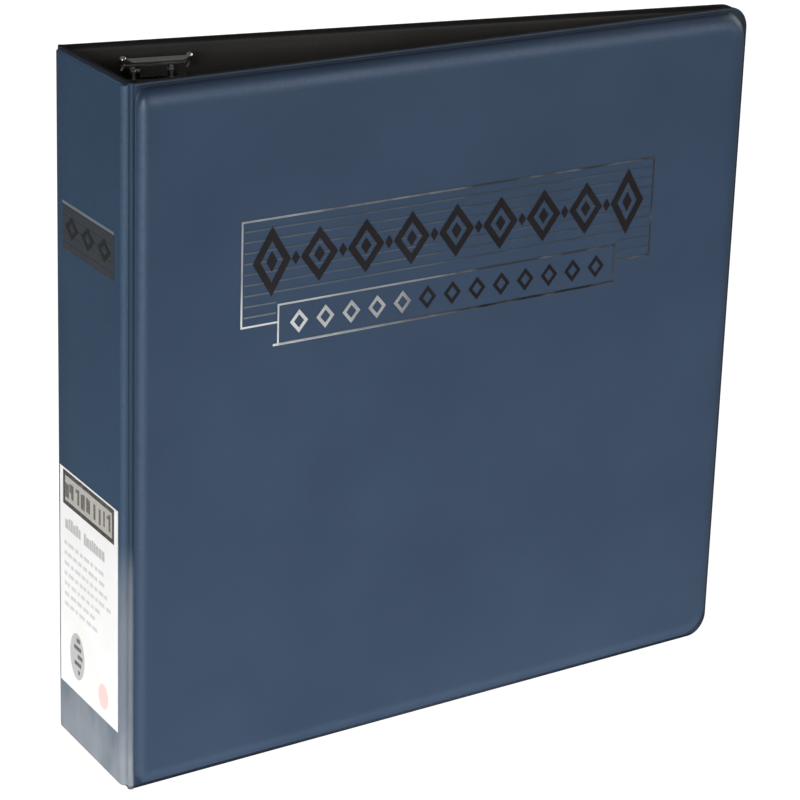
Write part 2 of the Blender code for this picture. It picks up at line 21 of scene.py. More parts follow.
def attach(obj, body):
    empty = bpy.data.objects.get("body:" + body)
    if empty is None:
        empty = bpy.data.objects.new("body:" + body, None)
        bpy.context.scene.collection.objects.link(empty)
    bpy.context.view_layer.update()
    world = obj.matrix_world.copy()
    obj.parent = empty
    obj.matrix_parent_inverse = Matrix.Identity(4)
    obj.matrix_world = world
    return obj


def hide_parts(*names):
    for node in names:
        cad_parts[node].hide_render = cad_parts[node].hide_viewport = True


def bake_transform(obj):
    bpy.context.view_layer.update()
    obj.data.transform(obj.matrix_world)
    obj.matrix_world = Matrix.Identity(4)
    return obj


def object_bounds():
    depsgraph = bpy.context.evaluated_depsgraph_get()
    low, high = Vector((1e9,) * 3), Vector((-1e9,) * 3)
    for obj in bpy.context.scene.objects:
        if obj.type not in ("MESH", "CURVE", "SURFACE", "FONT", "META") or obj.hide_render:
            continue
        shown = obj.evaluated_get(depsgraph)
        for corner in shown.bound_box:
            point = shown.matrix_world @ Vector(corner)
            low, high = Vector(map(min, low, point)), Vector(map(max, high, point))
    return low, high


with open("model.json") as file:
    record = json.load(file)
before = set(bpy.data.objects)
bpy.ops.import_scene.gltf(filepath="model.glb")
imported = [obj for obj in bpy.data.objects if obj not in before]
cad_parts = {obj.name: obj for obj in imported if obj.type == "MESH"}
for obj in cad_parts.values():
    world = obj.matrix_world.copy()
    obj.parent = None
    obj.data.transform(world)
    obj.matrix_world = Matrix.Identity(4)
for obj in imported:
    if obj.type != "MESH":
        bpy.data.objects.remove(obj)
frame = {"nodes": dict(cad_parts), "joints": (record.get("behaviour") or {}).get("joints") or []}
CAD_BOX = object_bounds()

MM = 0.001
JOINTS = {joint["name"]: joint for joint in frame["joints"]}
UP = Vector((0.0, 0.0, 1.0))

# Vinyl
WELD_TOP = 0.95            # weld plane to the top of a welded border
SHEET = 0.8                # thickness of the outer vinyl with its backing
LINING_SHEET = 0.6
LINING_N = -0.5            # weld plane to the inner face of a lining
CELL = 4.5                 # mesh cell in the flat of a cover
FORE_RADIUS = 10.0         # of a cover's two fore-edge corners
RIVET_HEAD = 5.5
ROLL_RADIUS = 1.5          # of the curled edges of a lever's wing
SLACK_MOST = 0.55          # the vinyl stands off its foam by less than this
# The hinge strips' share of the weld's dark also stands for painted shade in the hinge's groove
HINGE_WELD_AND_SHADE_SHARE = 0.35    # how much of the weld's dark shows in a hinge strip
SMOOTH_BELOW = 34.0        # degrees: facets that meet at less are shaded as one curve

# Welded border and rounded shoulder of each edge, as their widths
COVER_EDGE = (2.0, 8.0)
COVER_HINGE_EDGE = (0.15, 4.4)
SPINE_END = (0.3, 1.2)
SPINE_SIDE = (0.2, 3.4)

# The bead beside a weld, and the wear along a border's edge
BEAD_HEIGHT, BEAD_INSET, BEAD_WIDTH = 0.22, 1.0, 0.34
EDGE_WEAR, EDGE_WEAR_WIDTH = 0.3, 0.35

# Painted shade: the spine is painted darker towards the back cover, by what share, from where and over what
# width
SPINE_SHADE, SPINE_SHADE_START, SPINE_SHADE_WIDTH = 0.25, 18.0, 15.0

# How far each stamped or printed layer stands off the vinyl
FOIL_LIFT = 0.10
MOTIF_LIFT = 0.17
LABEL_LIFT = 0.24
PRINT_STEP = 0.03

# Camera and light
CAMERA_AIM = Vector((0.0131, 0.0419, 0.1214))
CAMERA_AZIMUTH, CAMERA_ELEVATION, CAMERA_ROLL = -29.66, 19.54, 1.91
CAMERA_DISTANCE = 1.3423
CAMERA_LENS = 135.5
STUDIO_MIDDLE = Vector((0.0, 0.0, 0.15))
WORLD_LIGHT = 0.14
WORLD_IN_GLOSS = 0.10      # the surround's brightness in reflections
FLOOR_GLOW = 0.85          # share of the floor's look that no shadow darkens
FLOOR_IN_GLOSS = 0.14      # the floor's brightness in reflections
TABLE_SIZE, TABLE_POWER = 0.9, 4.8   # a light panel at floor level that faces up
# Each lamp's name, azimuth, elevation, distance in metres, size, power in watts, and if reflections show it
LIGHTS = (
    ("key", -46.0, 9.0, 2.0, (0.9, 0.6), 20.0, True),
    ("front_fill", 38.0, 16.0, 2.0, (0.5, 0.7), 6.5, True),
    ("rear_fill", 190.0, 22.0, 2.2, (1.2, 1.0), 30.0, False),
    ("side_fill", 95.0, 20.0, 2.2, (1.0, 1.0), 10.0, True),
)


# Panels

class Panel:
    """A panel's own coordinates: origin on its zero line, a along it, n out of the binder."""

    def __init__(self, origin, along, out):
        self.origin = Vector((origin.x, origin.y, 0.0))
        self.along = along.normalized()
        self.out = out.normalized()
        self.mirrored = self.along.cross(UP).dot(self.out) < 0

    def at(self, a, n, z):
        return self.origin + (self.along * a + self.out * n + UP * z) * MM

    def place(self, a, n, z):
        """Arrays of a, n and z as an array of points."""
        flat = np.stack([np.ravel(a), np.ravel(n), np.ravel(z)], axis=1) * MM
        return np.array(self.origin) + flat @ np.array([self.along, self.out, UP])

    def span(self, node, direction):
        """Lowest and highest reach of a CAD node along a direction of this panel, in millimetres."""
        points = [vertex.co - self.origin for vertex in frame["nodes"][node].data.vertices]
        reach = [point.dot(direction) / MM for point in points]
        return min(reach), max(reach)


FRONT_HINGE = Vector(JOINTS["front_cover_hinge"]["pos_m"])
BACK_HINGE = Vector(JOINTS["back_cover_hinge"]["pos_m"])
BACK_ALONG = Vector(JOINTS["bottom_lever_pivot"]["axis"])
FRONT_ALONG = Vector((BACK_ALONG.x, -BACK_ALONG.y, 0.0))
FRONT = Panel(FRONT_HINGE, FRONT_ALONG, FRONT_ALONG.cross(UP))
BACK = Panel(BACK_HINGE, BACK_ALONG, UP.cross(BACK_ALONG))
SPINE = Panel((FRONT_HINGE + BACK_HINGE) / 2, Vector((0.0, 1.0, 0.0)), Vector((-1.0, 0.0, 0.0)))

HEIGHT = (CAD_BOX[1].z - CAD_BOX[0].z) / MM
COVER_LOW, COVER_HIGH = BACK.span("back_lining", BACK.along)
SPINE_LOW, SPINE_HIGH = SPINE.span("spine_lining", SPINE.along)
COVER_SWELL = FRONT.span("front_cover_skin", FRONT.out)[1]
SPINE_SWELL = SPINE.span("spine_skin", SPINE.out)[1]
MECHANISM_LOW, MECHANISM_HIGH = BACK.span("ring_housing", BACK.along)
RIVETS = [(sum(BACK.span(node, BACK.along)) / 2, sum(BACK.span(node, UP)) / 2)
          for node in ("bottom_housing_rivet", "top_housing_rivet")]


# Materials

def new_material(name):
    """A node material with its tree, its shader and its coordinates in millimetres."""
    material = bpy.data.materials.new(name)
    material.use_nodes = True
    tree = material.node_tree
    return material, tree, tree.nodes["Principled BSDF"], object_point(tree)


def add_node(tree, kind, **settings):
    node = tree.nodes.new(kind)
    for name, value in settings.items():
        if name in node.inputs:
            node.inputs[name].default_value = value
        else:
            setattr(node, name, value)
    return node


def object_point(tree, scale=(1.0, 1.0, 1.0)):
    """Object coordinates in millimetres, stretched by scale."""
    where = add_node(tree, "ShaderNodeTexCoord")
    mapping = add_node(tree, "ShaderNodeMapping")
    mapping.inputs["Scale"].default_value = [factor / MM for factor in scale]
    tree.links.new(where.outputs["Object"], mapping.inputs["Vector"])
    return mapping.outputs["Vector"]


def noise_value(tree, point, size, detail=3.0, roughness=0.5):
    """Noise whose features are about size millimetres across, from 0 to 1."""
    texture = add_node(tree, "ShaderNodeTexNoise", Scale=1.0 / size, Detail=detail, Roughness=roughness)
    tree.links.new(point, texture.inputs["Vector"])
    return texture.outputs["Fac"]


def cells(tree, point, size):
    """Leather cells about size millimetres across: low in the creases and high in the middles."""
    texture = add_node(tree, "ShaderNodeTexVoronoi", Scale=1.0 / size)
    texture.feature = "SMOOTH_F1"
    tree.links.new(point, texture.inputs["Vector"])
    return texture.outputs["Distance"]


def remap(tree, value, low, high, to_low, to_high):
    node = add_node(tree, "ShaderNodeMapRange")
    for name, number in (("From Min", low), ("From Max", high), ("To Min", to_low), ("To Max", to_high)):
        node.inputs[name].default_value = number
    tree.links.new(value, node.inputs["Value"])
    return node.outputs["Result"]


def arithmetic(tree, operation, first, second):
    node = add_node(tree, "ShaderNodeMath", operation=operation)
    for slot, item in zip(node.inputs, (first, second)):
        if isinstance(item, (int, float)):
            slot.default_value = item
        else:
            tree.links.new(item, slot)
    return node.outputs["Value"]


def mix_colours(tree, share, first, second):
    node = add_node(tree, "ShaderNodeMix", data_type="RGBA")
    factor, colour_a, colour_b = node.inputs[0], node.inputs[6], node.inputs[7]
    for socket, item in ((factor, share), (colour_a, first), (colour_b, second)):
        if isinstance(item, tuple):
            socket.default_value = (*item, 1.0)
        else:
            tree.links.new(item, socket)
    return node.outputs[2]


def attribute(tree, name):
    node = add_node(tree, "ShaderNodeAttribute", attribute_name=name)
    return node.outputs["Fac"]


def surface(tree, shader, tone, gloss):
    """Gives a shader its colour and its roughness."""
    tree.links.new(tone, shader.inputs["Base Color"])
    tree.links.new(gloss, shader.inputs["Roughness"])


def bump(tree, shader, height, distance):
    """Relief of distance millimetres where height runs from 0 to 1."""
    node = add_node(tree, "ShaderNodeBump", Distance=distance * MM)
    tree.links.new(height, node.inputs["Height"])
    tree.links.new(node.outputs["Normal"], shader.inputs["Normal"])


def leather_height(tree, point, cell):
    """A pressed leather grain: rounded cells of uneven size with fine pores over them."""
    warp = noise_value(tree, point, cell * 4, 2.0)
    offset = add_node(tree, "ShaderNodeVectorMath", operation="ADD")
    tree.links.new(point, offset.inputs[0])
    tree.links.new(arithmetic(tree, "MULTIPLY", warp, cell * 1.5), offset.inputs[1])
    grain = cells(tree, offset.outputs["Vector"], cell)
    pores = noise_value(tree, point, cell * 0.3, 4.0, 0.6)
    return arithmetic(tree, "ADD", arithmetic(tree, "MULTIPLY", grain, 0.8),
                      arithmetic(tree, "MULTIPLY", pores, 0.35))


def height_share(tree, point, high, low, most):
    """most below the height low, in millimetres, fading to 0 at high."""
    separate = add_node(tree, "ShaderNodeSeparateXYZ")
    tree.links.new(point, separate.inputs[0])
    return remap(tree, separate.outputs["Z"], high, low, 0.0, most)


def painted_foot_reflection(tree, point):
    """A painted reflection of the pale floor that pales the vinyl beside the label and most of all at the
    foot.
    """
    beside_label = height_share(tree, point, high=108.0, low=90.0, most=0.4)
    at_foot = height_share(tree, point, high=45.0, low=12.0, most=0.3)
    unevenness = noise_value(tree, object_point(tree, (1.0, 1.0, 0.35)), 14.0, 3.0, 0.6)
    return arithmetic(tree, "MULTIPLY", arithmetic(tree, "ADD", beside_label, at_foot),
                      remap(tree, unevenness, 0.3, 0.7, 0.62, 1.1))


def vinyl(name, colour, weld_and_shade_colour, roughness, cell, relief, foot_reflection_colour=None):
    """Grained vinyl. Its weld mask darkens its welded borders and also paints shade into grooves and onto
    sides turned from the lights; its wear mask pales its crests, partly as wear and partly as a painted
    highlight.
    """
    material, tree, shader, point = new_material(name)
    blotches = noise_value(tree, point, 55.0, 3.0, 0.55)
    fine = noise_value(tree, point, 2.2, 3.0, 0.6)
    paler = tuple(channel * 1.07 + 0.001 for channel in colour)
    darker = tuple(channel * 0.93 for channel in colour)
    tone = mix_colours(tree, remap(tree, blotches, 0.3, 0.7, 0.0, 1.0), darker, paler)
    tone = mix_colours(tree, remap(tree, fine, 0.3, 0.7, 0.0, 0.22), tone, darker)
    # Crests pale towards this colour, partly as wear and partly as a painted highlight
    worn_and_lit = tuple(channel * 1.5 + 0.025 for channel in colour)
    wear = arithmetic(tree, "MULTIPLY", attribute(tree, "wear"), remap(tree, fine, 0.2, 0.8, 0.35, 1.0))
    tone = mix_colours(tree, wear, tone, worn_and_lit)
    # The weld mask darkens the welds and also paints shade into grooves and onto sides turned from the
    # lights
    tone = mix_colours(tree, attribute(tree, "weld"), tone, weld_and_shade_colour)
    # Painted reflection of the floor, palest beside the label and at the foot
    if foot_reflection_colour:
        tone = mix_colours(tree, painted_foot_reflection(tree, point), tone, foot_reflection_colour)
    gloss = arithmetic(tree, "ADD", remap(tree, blotches, 0.2, 0.8, roughness - 0.05, roughness + 0.06),
                       remap(tree, fine, 0.2, 0.8, -0.03, 0.04))
    surface(tree, shader, tone, gloss)
    shader.inputs["Specular IOR Level"].default_value = 0.42
    bump(tree, shader, leather_height(tree, point, cell), relief)
    return material


def metal(name, colour, roughness, scratch_scale, scratch_relief, metallic=1.0):
    """Plated or bare metal with fine directional scratches and faint smudges."""
    material, tree, shader, point = new_material(name)
    unevenness = noise_value(tree, point, 18.0, 4.0, 0.6)
    scratches = noise_value(tree, object_point(tree, scratch_scale), 1.0, 4.0, 0.65)
    darker = tuple(channel * 0.82 for channel in colour)
    tone = mix_colours(tree, remap(tree, unevenness, 0.3, 0.7, 0.0, 1.0), colour, darker)
    gloss = arithmetic(tree, "ADD", remap(tree, unevenness, 0.3, 0.7, roughness - 0.04, roughness + 0.08),
                       remap(tree, scratches, 0.3, 0.7, -0.03, 0.05))
    surface(tree, shader, tone, gloss)
    shader.inputs["Metallic"].default_value = metallic
    bump(tree, shader, scratches, scratch_relief)
    return material


def foil(name, colour, painted_reflection_colour, roughness, metallic):
    """Hot-stamped foil that lets the vinyl's grain show. A painted reflection makes it palest towards the
    spine and paler low down.
    """
    material, tree, shader, point = new_material(name)
    patches = noise_value(tree, point, 22.0, 3.0, 0.6)
    specks = noise_value(tree, point, 0.9, 3.0, 0.7)
    separate = add_node(tree, "ShaderNodeSeparateXYZ")
    tree.links.new(point, separate.inputs[0])
    # Painted reflection: the foil turns to its paler colour towards the spine and low down
    pale_x, dull_x = -105.0, 10.0
    pale_z, dull_z = 196.0, 214.0
    across = remap(tree, separate.outputs["X"], pale_x, dull_x, 1.05, 0.0)
    down = remap(tree, separate.outputs["Z"], pale_z, dull_z, 1.0, 0.4)
    share = arithmetic(tree, "ADD", arithmetic(tree, "MULTIPLY", across, down),
                       remap(tree, patches, 0.3, 0.7, -0.15, 0.2))
    tone = mix_colours(tree, remap(tree, share, 0.0, 1.0, 0.0, 1.0), colour, painted_reflection_colour)
    surface(tree, shader, tone, remap(tree, specks, 0.3, 0.7, roughness - 0.05, roughness + 0.12))
    shader.inputs["Metallic"].default_value = metallic
    bump(tree, shader, leather_height(tree, point, 1.3), 0.02)
    return material


def ink(name, colour):
    """Printing ink with the paper's tooth showing through."""
    roughness = 0.5
    material, tree, shader, point = new_material(name)
    tooth = noise_value(tree, point, 0.7, 3.0, 0.7)
    thin = tuple(channel + (0.75 - channel) * 0.22 for channel in colour)
    tone = mix_colours(tree, remap(tree, tooth, 0.45, 0.75, 0.0, 1.0), colour, thin)
    surface(tree, shader, tone, remap(tree, tooth, 0.2, 0.8, roughness - 0.06, roughness + 0.08))
    bump(tree, shader, tooth, 0.01)
    return material


def label_paper():
    """Smooth coated paper, faintly yellowed in patches."""
    material, tree, shader, point = new_material("label_paper")
    patches = noise_value(tree, point, 30.0)
    fibres = noise_value(tree, object_point(tree, (1.0, 1.0, 0.3)), 0.5, 4.0, 0.7)
    yellowing = remap(tree, patches, 0.35, 0.65, 0.0, 1.0)
    tone = mix_colours(tree, yellowing, (0.75, 0.75, 0.76), (0.72, 0.71, 0.69))
    surface(tree, shader, tone, remap(tree, fibres, 0.2, 0.8, 0.36, 0.5))
    bump(tree, shader, fibres, 0.012)
    return material


def chipboard():
    """Dense grey-brown board with pressed fibres."""
    material, tree, shader, point = new_material("chipboard")
    fibres = noise_value(tree, object_point(tree, (0.25, 1.0, 1.0)), 1.2, 5.0, 0.7)
    flecks = cells(tree, point, 2.0)
    pressed = remap(tree, fibres, 0.3, 0.7, 0.0, 1.0)
    tone = mix_colours(tree, pressed, (0.25, 0.21, 0.155), (0.42, 0.36, 0.275))
    tree.links.new(mix_colours(tree, remap(tree, flecks, 0.0, 0.25, 0.5, 0.0), tone, (0.16, 0.12, 0.08)),
                   shader.inputs["Base Color"])
    shader.inputs["Roughness"].default_value = 0.9
    bump(tree, shader, fibres, 0.12)
    return material


# Surfaces

class Sheet:
    """The outer vinyl of one panel: a flat welded border that rises round a shoulder to a padded face."""

    def __init__(self, panel, low, high, swell, end, side, fore_radius, corners, slack=None):
        self.panel = panel
        self.low, self.high, self.swell = low, high, swell
        self.end_flange, self.end_shoulder = end
        self.side_flange, self.side_shoulder = side
        self.fore_flange, self.fore_shoulder = end if fore_radius else side
        self.fore_radius = fore_radius
        self.low_corner, self.high_corner = corners
        self.slack = slack

    def border_inset(self, a, z):
        """Distance in from the free edges. The hinge side has no free edge on a cover."""
        radius = max(self.fore_radius, 2.5)
        out_of_reach = 99.0
        from_ends = np.minimum(z, HEIGHT - z)
        from_fore = self.high - a if self.fore_radius else np.full_like(a, out_of_reach)
        gap_a = np.clip(radius - from_fore, 0, None)
        gap_z = np.clip(radius - from_ends, 0, None)
        return radius - np.hypot(gap_a, gap_z)

    def shoulder_share(self, a, z):
        """0 at the foot of the shoulder and 1 where it meets the padded face."""
        from_low = (a - self.low - self.side_flange) / self.side_shoulder
        from_high = (self.high - a - self.fore_flange) / self.fore_shoulder
        from_ends = (np.minimum(z, HEIGHT - z) - self.end_flange) / self.end_shoulder

        def rounded_share(from_side, corner):
            gap_side = np.clip(corner - from_side, 0, None)
            gap_end = np.clip(corner - from_ends, 0, None)
            return corner - np.hypot(gap_side, gap_end)

        by_low = rounded_share(from_low, self.low_corner)
        by_high = rounded_share(from_high, self.high_corner)
        return np.clip(np.minimum(by_low, by_high), 0, 1)

    def height(self, a, z):
        """n of the vinyl's outer face."""
        share = self.shoulder_share(a, z)
        round_up = np.sqrt(1 - (1 - share) ** 2)
        inset = self.border_inset(a, z)
        bead = BEAD_HEIGHT * np.exp(-((inset - BEAD_INSET) / BEAD_WIDTH) ** 2)
        worn_edge = EDGE_WEAR * np.clip(1 - inset / EDGE_WEAR_WIDTH, 0, 1) ** 2
        n = WELD_TOP + (self.swell - WELD_TOP) * round_up + (bead - worn_edge) * (share <= 0)
        if self.slack is not None:
            n = n + self.slack(a, z) * round_up
        return n

    def masks(self, a, z):
        """How much each point shows the dark weld, with painted shade, and how much the worn crest, with a
        painted highlight.
        """
        share = self.shoulder_share(a, z)
        from_hinge = (a - self.low - self.side_flange) / self.side_shoulder
        from_fore = (self.high - a - self.fore_flange) / self.fore_shoulder
        if self.fore_radius:
            by_fore = np.clip(1 - (from_fore - share) / 0.3, 0, 1)
        else:
            by_fore = np.zeros_like(share)
            from_hinge = np.minimum(from_hinge, from_fore)
        by_hinge = np.clip(1 - (from_hinge - share) / 0.3, 0, 1)
        border = np.clip(1 - share / 0.4, 0, 1) * 0.35 + np.clip(1 - share / 0.1, 0, 1) * 0.35
        # Painted shade: the fore-edge's shoulder, turned from the lights, takes the weld's dark colour
        border = border + np.clip(1 - share / 0.8, 0, 1) * 0.4 * by_fore
        weld = border * (1 - by_hinge)
        # The crests pale, partly as wear and partly as a painted highlight, more higher up and not on the
        # fore-edge's shoulder
        wear = np.exp(-((share - 0.6 + 0.28 * by_hinge) / (0.22 + 0.13 * by_hinge)) ** 2)
        wear = wear * (0.25 + 0.65 * z / HEIGHT) * (1 - by_fore)
        if not self.fore_radius:
            # Painted shade darkens the spine towards the back cover; the painted highlight on its crests is
            # strongest towards the front cover
            weld = weld + SPINE_SHADE * np.clip((a - SPINE_SHADE_START) / SPINE_SHADE_WIDTH, 0, 1)
            wear = wear * np.clip(0.7 - a / 60.0, 0.2, 1.25)
        weld = np.where(self.border_inset(a, z) < 0.5, 1.0, np.minimum(weld, 1.0))
        return weld, wear


def graded(flange, shoulder):
    """Distances in from an edge, close together over the border and the shoulder."""
    border = [flange * share for share in (0.0, 0.08, 0.17, 0.35, 0.5, 0.65, 0.85)]
    turns = [pi / 2 * step / 9 for step in range(10)]
    return border + [flange + shoulder * (1 - cos(turn)) for turn in turns] + [flange + shoulder * 1.35]


def stations(low, high, low_edge, high_edge):
    """Grid lines from low to high: graded at both ends and evenly spaced between."""
    start, end = low + low_edge[-1], high - high_edge[-1]
    count = max(2, round((end - start) / CELL))
    middle = [start + (end - start) * step / count for step in range(1, count)]
    first = [low + step for step in low_edge]
    last = [high - step for step in reversed(high_edge)]
    return np.array(first + middle + last)


def round_fore_corners(a, z, high, radius):
    """Moves the grid points in the two corner squares at the fore-edge into quarter discs."""
    centre_a = high - radius
    for centre_z, side_z in ((radius, -1), (HEIGHT - radius, 1)):
        x = (a - centre_a) / radius
        y = (z - centre_z) * side_z / radius
        inside = (x > 0) & (y > 0)
        a = np.where(inside, centre_a + radius * x * np.sqrt(1 - np.clip(y, 0, 1) ** 2 / 2), a)
        z = np.where(inside, centre_z + side_z * radius * y * np.sqrt(1 - np.clip(x, 0, 1) ** 2 / 2), z)
    return a, z


def add_object(name, data):
    """A new object of the scene that holds a mesh, a light or a camera."""
    added = bpy.data.objects.new(name, data)
    bpy.context.scene.collection.objects.link(added)
    return added


def mesh_from(bm, name):
    """The mesh that bm holds, with bm freed."""
    mesh = bpy.data.meshes.new(name)
    bm.to_mesh(mesh)
    bm.free()
    return mesh


def set_attributes(mesh, attributes):
    """One value for each vertex under each name."""
    for label, values in attributes:
        layer = mesh.attributes.new(label, "FLOAT", "POINT")
        layer.data.foreach_set("value", np.ravel(values).astype(np.float32))


def thicken(piece, thickness):
    """Gives a sheet its thickness behind its face."""
    solid = piece.modifiers.new("thickness", "SOLIDIFY")
    solid.thickness = thickness * MM
    solid.offset = -1.0


def grid_piece(name, points, rows, columns, flip, thickness, attributes=()):
    """A quad grid through rows x columns points, given thickness behind its face."""
    index = np.arange(rows * columns).reshape(rows, columns)
    corners = [index[:-1, :-1], index[:-1, 1:], index[1:, 1:], index[1:, :-1]]
    quads = np.stack(corners, axis=-1).reshape(-1, 4)
    if flip:
        quads = quads[:, ::-1]
    mesh = bpy.data.meshes.new(name)
    mesh.from_pydata(points.tolist(), [], quads.tolist())
    set_attributes(mesh, attributes)
    mesh.shade_smooth()
    piece = add_object(name, mesh)
    thicken(piece, thickness)
    return piece


def finish_piece(piece, body, material, replaced=()):
    """Gives a piece its material, slot and body, and hides the CAD nodes it stands for."""
    piece.data.materials.append(material)
    if replaced:
        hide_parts(*replaced)
    if body:
        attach(piece, body)
    return piece


# Slack of the vinyl over its foam, by cloth simulation

def blown_slack(panel_name, seed, low, high, most):
    """How far welded vinyl stands off its foam: a sheet held at its welds and blown up by a little air.

    Returns a function of (a, z) in millimetres that reads the simulated sheet.
    """
    pitch, wave_length, wave_height, fullness = 6.0, 70.0, 0.6, 1.6
    columns = int((high - low) / pitch) + 1
    rows = int(HEIGHT / pitch) + 1
    a, z = np.meshgrid(np.linspace(low, high, columns), np.linspace(0.0, HEIGHT, rows))
    wave = [noise.noise(Vector((x / wave_length, y / wave_length, seed)))
            for x, y in zip(a.ravel(), z.ravel())]
    rest = np.array(wave).reshape(rows, columns) * wave_height
    lifted = simulate_sheet(panel_name, a, z, rest, rows, columns)
    lifted = lifted - lifted.min()
    eased = most * np.tanh(fullness * lifted / max(lifted.max(), 1e-6))

    def slack(at_a, at_z):
        x = np.clip((at_a - low) / (high - low) * (columns - 1), 0, columns - 1.001)
        y = np.clip(at_z / HEIGHT * (rows - 1), 0, rows - 1.001)
        i, j = x.astype(int), y.astype(int)
        u, v = x - i, y - j
        return ((eased[j, i] * (1 - u) + eased[j, i + 1] * u) * (1 - v)
                + (eased[j + 1, i] * (1 - u) + eased[j + 1, i + 1] * u) * v)

    return slack


def simulate_sheet(name, a, z, rest, rows, columns):
    """Blender's cloth on a sheet pinned at its edge, and the height in millimetres that it blows up to."""
    points = np.stack([a.ravel(), z.ravel(), rest.ravel()], axis=1) * MM
    sheet = grid_piece(f"{name}_sheet", points, rows, columns, False, 1.0)
    sheet.modifiers.clear()
    rim = 2
    held = np.pad(np.zeros((rows - 2 * rim, columns - 2 * rim)), rim, constant_values=1)
    edge = [int(i) for i in np.flatnonzero(held.ravel())]
    sheet.vertex_groups.new(name="weld").add(edge, 1.0, "REPLACE")
    cloth = sheet.modifiers.new("cloth", "CLOTH")
    settings = cloth.settings
    settings.quality = 6
    settings.mass = 0.3
    settings.tension_stiffness = 25.0
    settings.compression_stiffness = 25.0
    settings.shear_stiffness = 12.0
    settings.bending_stiffness = 3.0
    settings.vertex_group_mass = "weld"
    settings.shrink_min = -0.004
    settings.use_pressure = True
    settings.uniform_pressure_force = 4.0
    settings.effector_weights.gravity = 0.0
    last_frame = 20
    cloth.point_cache.frame_start = 1
    cloth.point_cache.frame_end = last_frame
    scene = bpy.context.scene
    for step in range(1, last_frame + 1):
        scene.frame_set(step)
    shaped = sheet.evaluated_get(bpy.context.evaluated_depsgraph_get())
    heights = np.array([vertex.co.z for vertex in shaped.data.vertices]).reshape(rows, columns) / MM
    scene.frame_set(1)
    bpy.data.objects.remove(sheet, do_unlink=True)
    return heights


# Outer vinyl

def cover_sheet(panel, word, seed):
    slack = blown_slack(word, seed, COVER_LOW + 2.0, COVER_HIGH - 3.0, SLACK_MOST)
    return Sheet(panel, COVER_LOW, COVER_HIGH, COVER_SWELL - 0.1, COVER_EDGE, COVER_HINGE_EDGE, FORE_RADIUS,
                 (1.0, 1.6), slack)


def spine_sheet():
    return Sheet(SPINE, SPINE_LOW, SPINE_HIGH, SPINE_SWELL, SPINE_END, SPINE_SIDE, 0.0, (1.1, 1.1))


def cover_grid():
    """Grid points of a cover's outline, denser over its border and shoulder."""
    ends = graded(*COVER_EDGE)
    columns = stations(COVER_LOW, COVER_HIGH, graded(*COVER_HINGE_EDGE), ends)
    rows = stations(0.0, HEIGHT, ends, ends)
    a, z = np.meshgrid(columns, rows)
    return round_fore_corners(a, z, COVER_HIGH, FORE_RADIUS)


def spine_grid(side, end):
    """Grid points of the spine, denser over the two kinds of edge."""
    sides, ends = graded(*side), graded(*end)
    return np.meshgrid(stations(SPINE_LOW, SPINE_HIGH, sides, sides), stations(0.0, HEIGHT, ends, ends))


def rivet_swell(a, z):
    """The padding bulges a little around the two rivet heads that hold it down."""
    height, crest, width, clearance = 0.5, 11.0, 5.0, 0.3
    total = np.zeros_like(a)
    for rivet_a, rivet_z in RIVETS:
        distance = np.hypot(a - rivet_a, z - rivet_z)
        bulge = height * np.exp(-((distance - crest) / width) ** 2)
        total += np.where(distance < RIVET_HEAD + clearance, 0.0, bulge)
    return total


def near_rivet(a, z):
    """1 under a rivet head, where the vinyl is pressed flat, fading to 0 around it."""
    reach, fade = 14.0, 6.0
    share = np.zeros_like(a)
    for rivet_a, rivet_z in RIVETS:
        distance = np.hypot(a - rivet_a, z - rivet_z)
        share = np.maximum(share, np.clip((reach - distance) / fade, 0, 1))
    return share


def outer_vinyl(name, sheet, a, z, n, material, body, replaced):
    weld, wear = sheet.masks(a, z)
    points = sheet.panel.place(a, n, z)
    piece = grid_piece(name, points, *a.shape, sheet.panel.mirrored, SHEET, (("weld", weld), ("wear", wear)))
    return finish_piece(piece, body, material, replaced)


def build_covers(front_sheet, back_sheet, material):
    a, z = cover_grid()
    front = outer_vinyl("front_cover_vinyl", front_sheet, a, z, front_sheet.height(a, z), material,
                        "front_cover", ("front_cover_skin", "front_foam_pad"))
    pressed = near_rivet(a, z)
    n = back_sheet.height(a, z)
    n = n * (1 - pressed) + np.minimum(n, COVER_SWELL) * pressed + rivet_swell(a, z)
    back = outer_vinyl("back_cover_vinyl", back_sheet, a, z, n, material,
                       "back_cover", ("back_cover_skin", "back_foam_pad"))


def build_spine(sheet, material):
    a, z = spine_grid(SPINE_SIDE, SPINE_END)
    outer_vinyl("spine_vinyl", sheet, a, z, sheet.height(a, z), material, "spine", ("spine_skin",))


# Linings

def lining_height(a, z, low, high, seed, flat_low=None, flat_high=None):
    """n of a lining's inner face: a weld line round its border, and loose waves inside it."""
    wave_height, weld_depth = 0.45, 0.16
    inset = np.minimum(np.minimum(z, HEIGHT - z), np.minimum(a - low, high - a))
    inside = np.clip((inset - 2.5) / 6.0, 0, 1)
    waves = [noise.noise(Vector((x / 60.0, y / 85.0, seed))) for x, y in zip(a.ravel(), z.ravel())]
    loose = (np.array(waves).reshape(a.shape) + 0.7) * wave_height * inside ** 2 * (3 - 2 * inside)
    if flat_low is not None:
        clear = np.clip(np.maximum(flat_low - a, a - flat_high) / 12.0, 0, 1)
        loose = loose * clear
    groove = weld_depth * np.exp(-((inset - 2.0) / 0.5) ** 2)
    return LINING_N + groove - loose


def lining_piece(name, panel, a, z, n, material, body, replaced):
    # The lining's top and bottom edges take the weld's near-black colour, partly as the weld and partly as
    # painted shade
    weld = np.clip(1.5 - np.minimum(z, HEIGHT - z) / 1.6, 0, 1)
    points = panel.place(a, n, z)
    attributes = (("weld", weld), ("wear", np.zeros_like(a)))
    piece = grid_piece(name, points, *a.shape, not panel.mirrored, LINING_SHEET, attributes)
    finish_piece(piece, body, material, (replaced,))


